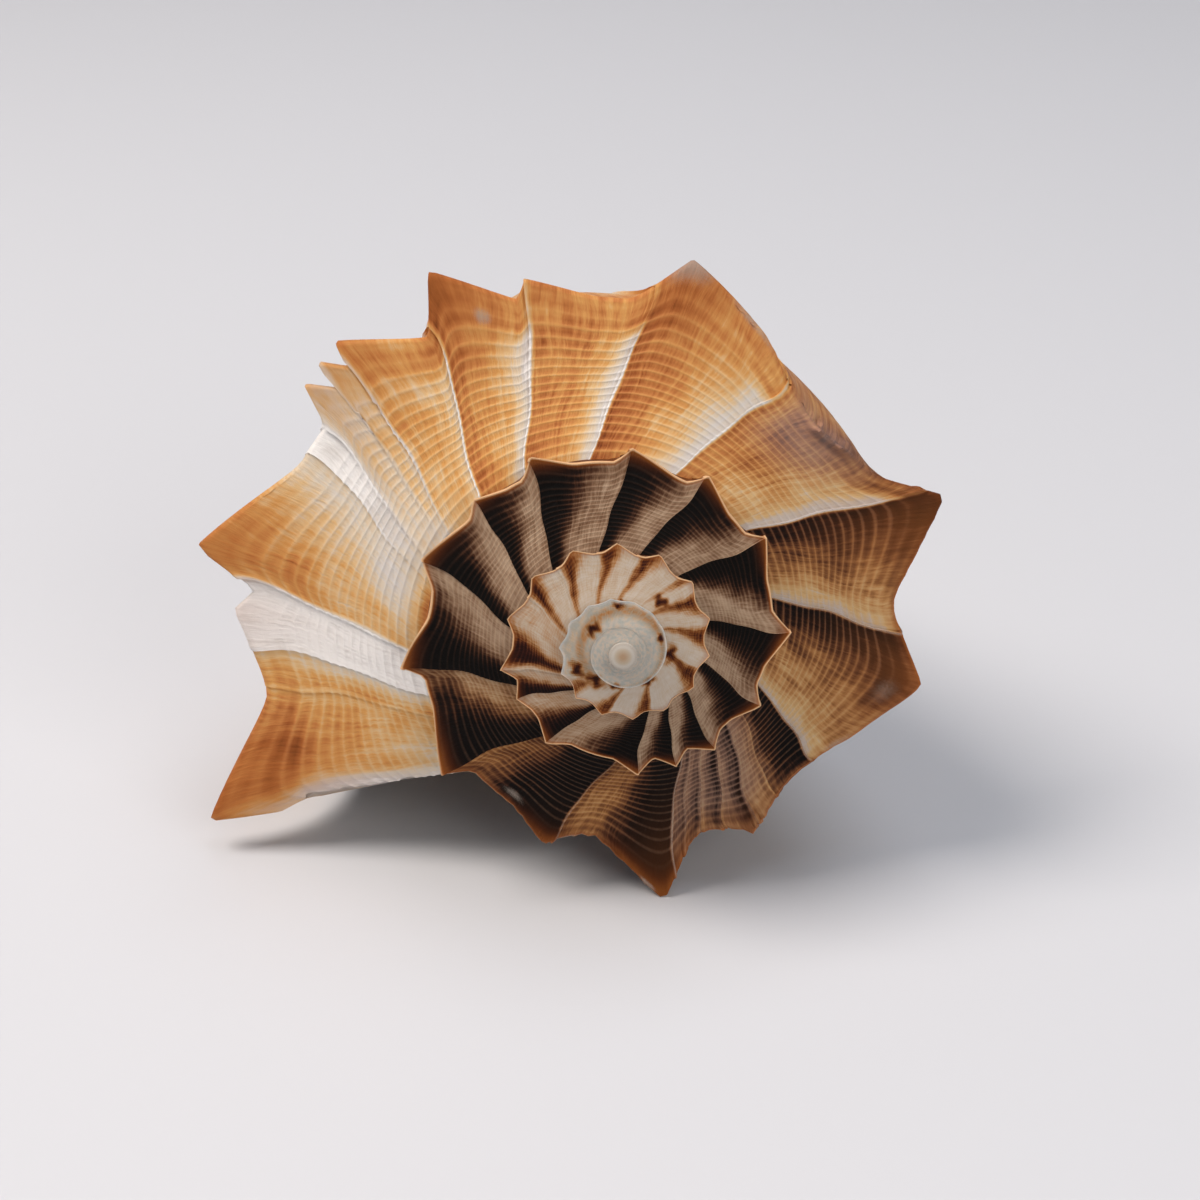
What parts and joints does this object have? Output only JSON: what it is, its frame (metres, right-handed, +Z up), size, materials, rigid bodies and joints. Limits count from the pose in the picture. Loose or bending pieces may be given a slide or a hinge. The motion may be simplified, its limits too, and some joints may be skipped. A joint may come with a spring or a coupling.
{
  "type": "lightning whelk shell",
  "caption": "Left-handed spiral sea shell with a flat spiny spire, a wide open mouth and a long grooved canal, lying mouth down.",
  "frame": {"origin": "middle of the shell's bounding box, on the surface it lies on", "axes": "+Y from the spire to the canal's tip, +Z up from the mouth side that it lies on"},
  "size_m": [0.0814, 0.1464, 0.0679],
  "materials": {
    "shell": "satin, orange brown with white and near black streaks"
  },
  "bodies": {
    "root": {"shell": "shell"}
  },
  "joints": []
}
